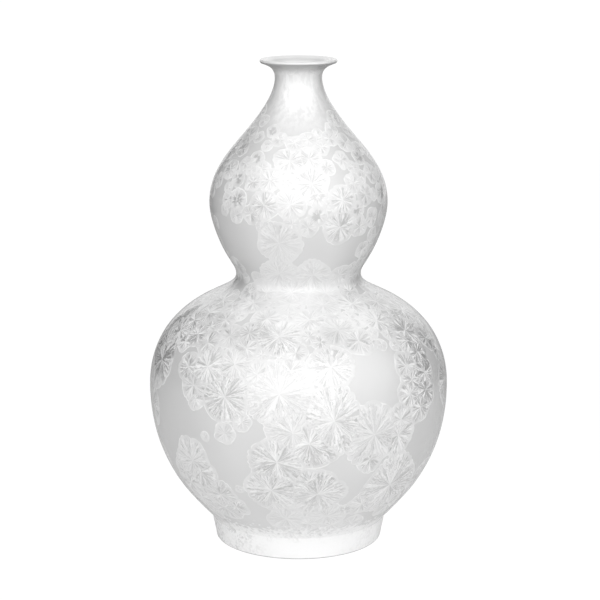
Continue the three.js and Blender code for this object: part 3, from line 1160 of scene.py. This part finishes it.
def vase():
    """The six glazed sections, with the clay that is left bare under the foot."""
    fine = fine_crystal_group()
    glaze = crystalline_glaze(crystal_group(), fine)
    clay = bare_porcelain()
    foot = finish_piece(foot_ring(), foot_glaze(fine), "foot_glaze", "foot_ring", "foot_seam_coil")
    leave_bare(foot, clay, BARE_LAND_AND_CONTACT_SHADE)
    bowl = finish_piece(lower_bowl(), glaze, "crystalline_glaze", "lower_bowl", "belly_seam_coil")
    leave_bare(bowl, clay, FOOT_WELL + BARE_BASE)
    for name, low, high, columns, spacing in THROWN_SECTIONS:
        section = thrown_section(name + "_glazed", low, high, columns, spacing)
        finish_piece(section, glaze, "crystalline_glaze", name, high + "_seam_coil")
    finish_piece(neck_and_mouth(), glaze, "crystalline_glaze", "neck_and_mouth")


# Studio, in metres and degrees

TENT_RADIUS = 9.0
TENT_ROWS = 40
TENT_COLUMNS = 64
TENT_SPREAD = 50.0
# Glows of the tent: angle to the right of the front and elevation in degrees, and how much each adds.
TENT_GLOWS = [
    (0, 8, 0.25), (180, 8, 0.55), (0, 35, 0.96), (45, 35, 0.99), (-45, 35, 0.91), (90, 35, 0.55),
    (-90, 35, 0.36), (180, 35, 0.55), (-60, 62, 0.07),
]
# Dark cards behind the vase that draw its edges: the angles to the right of the front where each one ends.
CARDS = {"left_card": (-156, -120), "right_card": (112, 140)}
CARD_DISTANCE = 1.0
CARD_HEIGHT = 0.5
CARD_GREY = 0.1
CARD_STEPS = 12
# The floor: its reach as a share of the tent's, its tones in front of the vase and behind it, and where
# behind the vase it darkens and grows light again.
FLOOR_DROP = 0.0003
FLOOR_SHARE = 0.99
FLOOR_SIDES = 96
FLOOR_GREY = 0.88
FLOOR_GREY_BEHIND = 0.35
FLOOR_DARKENS = (-0.1, 0.5)
FLOOR_LIGHTENS = (1.5, 2.5)
# How white the floor is where it is seen, and what share that has in it and in its reflections.
FLOOR_WHITE_LEVEL = 1.07
FLOOR_WHITE = 0.93
FLOOR_SHEEN = 0.1
# Strength of the background where it isn't seen.
UNSEEN_BACKGROUND = 0.5


def seen_by(tree):
    """Whether a ray comes from the camera, through something clear, or from a glossy surface."""
    path = node(tree, "ShaderNodeLightPath").outputs
    return [Value(tree, path[f"Is {kind} Ray"]) for kind in ("Camera", "Transmission", "Glossy")]


def white_world():
    """A white background, for rays from the camera and for glossy and transmitted rays."""
    world = bpy.data.worlds.new("white_background")
    world.use_nodes = True
    tree = world.node_tree
    tree.nodes.clear()
    strength = most(*seen_by(tree)) * (1 - UNSEEN_BACKGROUND) + UNSEEN_BACKGROUND
    back = node(tree, "ShaderNodeBackground", {"Color": grey(1.0), "Strength": strength})
    node(tree, "ShaderNodeOutputWorld", {"Surface": back.outputs[0]})
    bpy.context.scene.world = world


def stage_piece(name, places, faces, material):
    """A piece of the studio, which isn't part of the vase."""
    mesh = bpy.data.meshes.new(name)
    mesh.from_pydata(places.tolist(), [], faces.tolist())
    mesh.materials.append(material)
    piece = placed(name, mesh)
    return piece


def light_tent():
    """A round tent of cloth that lights the vase: brightest high in front, dimmer at the sides and behind.

    A sphere of rings, x = R cos b sin a, y = -R cos b cos a, z = R sin b.
    """
    rise = np.linspace(-math.pi / 2, math.pi / 2, TENT_ROWS)[:, None]
    turn = np.linspace(0, 2 * math.pi, TENT_COLUMNS + 1)[None, :-1]
    sphere = np.broadcast_arrays(np.cos(rise) * np.sin(turn), -np.cos(rise) * np.cos(turn), np.sin(rise))
    material, tree = empty_material("tent_cloth")
    outwards = object_place(tree).vector("NORMALIZE")
    edge = math.cos(math.radians(TENT_SPREAD))
    glows = []
    for *angles, glow in TENT_GLOWS:
        turned_by, raised_by = np.radians(angles)
        flat = math.cos(raised_by)
        middle = flat * math.sin(turned_by), -flat * math.cos(turned_by), math.sin(raised_by)
        ahead = outwards.vector("DOT_PRODUCT", middle, output="Value")
        glows.append(ahead.rise(edge, 1.0, 0.0, glow))
    level = sum(glows[1:], glows[0])
    show(tree, node(tree, "ShaderNodeEmission", {"Color": grey(1.0), "Strength": level}))
    faces = turned_faces(TENT_ROWS, TENT_COLUMNS, False)
    stage_piece("light_tent", TENT_RADIUS * vectors(*sphere), faces, material).visible_camera = False


def dark_cards():
    """Bent cards behind the vase, out of the camera's sight. Their reflections draw the edges of the glaze.

    Each is a strip of a cylinder about the vase, x = D sin a, y = -D cos a, from the floor up.
    """
    material, tree = empty_material("dark_card")
    show(tree, node(tree, "ShaderNodeBsdfDiffuse", {"Color": grey(CARD_GREY)}))
    columns = CARD_STEPS + 1
    here = np.arange(CARD_STEPS)
    faces = np.stack([here, here + 1, here + 1 + columns, here + columns], axis=1)
    for name, ends in CARDS.items():
        turn = np.radians(line(*ends, CARD_STEPS))
        low = CARD_DISTANCE * vectors(np.sin(turn), -np.cos(turn), np.zeros(columns))
        places = np.concatenate([low, low + [0.0, 0.0, CARD_HEIGHT]])
        stage_piece(name, places, faces, material).visible_camera = False


def pale_floor():
    """A round floor just under the foot. It is seen as white, and keeps part of its shading and shadow."""
    turn = np.linspace(0, 2 * math.pi, FLOOR_SIDES + 1)[:-1]
    reach = FLOOR_SHARE * TENT_RADIUS
    places = vectors(reach * np.sin(turn), -reach * np.cos(turn), np.full(FLOOR_SIDES, -FLOOR_DROP))
    material, tree = empty_material("white_floor")
    camera_ray, clear_ray, glossy_ray = seen_by(tree)
    share = most(most(camera_ray, clear_ray) * FLOOR_WHITE, glossy_ray * FLOOR_SHEEN)
    back = object_place(tree).parts()[1]
    tone = back.rise(*FLOOR_DARKENS) * back.fall(*FLOOR_LIGHTENS)
    tone = mixed(tone, grey(FLOOR_GREY), grey(FLOOR_GREY_BEHIND))
    cloth = node(tree, "ShaderNodeBsdfDiffuse", {"Color": tone})
    white = node(tree, "ShaderNodeEmission", {"Color": grey(1.0), "Strength": FLOOR_WHITE_LEVEL})
    show(tree, node(tree, "ShaderNodeMixShader", {0: share, 1: cloth.outputs[0], 2: white.outputs[0]}))
    stage_piece("floor", places, np.arange(FLOOR_SIDES)[None, :], material)


def camera():
    """The camera at the photograph's viewing angle."""
    data = bpy.data.cameras.new("camera")
    data.lens = CAMERA_LENS
    data.sensor_width = SENSOR_WIDTH
    eye = placed("camera", data)
    pitch = math.radians(CAMERA_PITCH)
    back = Vector((0.0, -math.cos(pitch), math.sin(pitch)))
    eye.location = CAMERA_TARGET + back * CAMERA_DISTANCE
    eye.rotation_euler = (-back).to_track_quat("-Z", "Y").to_euler()
    bpy.context.scene.camera = eye


camera()
vase()
white_world()
light_tent()
dark_cards()
pale_floor()
bpy.context.scene.view_settings.view_transform = "Standard"
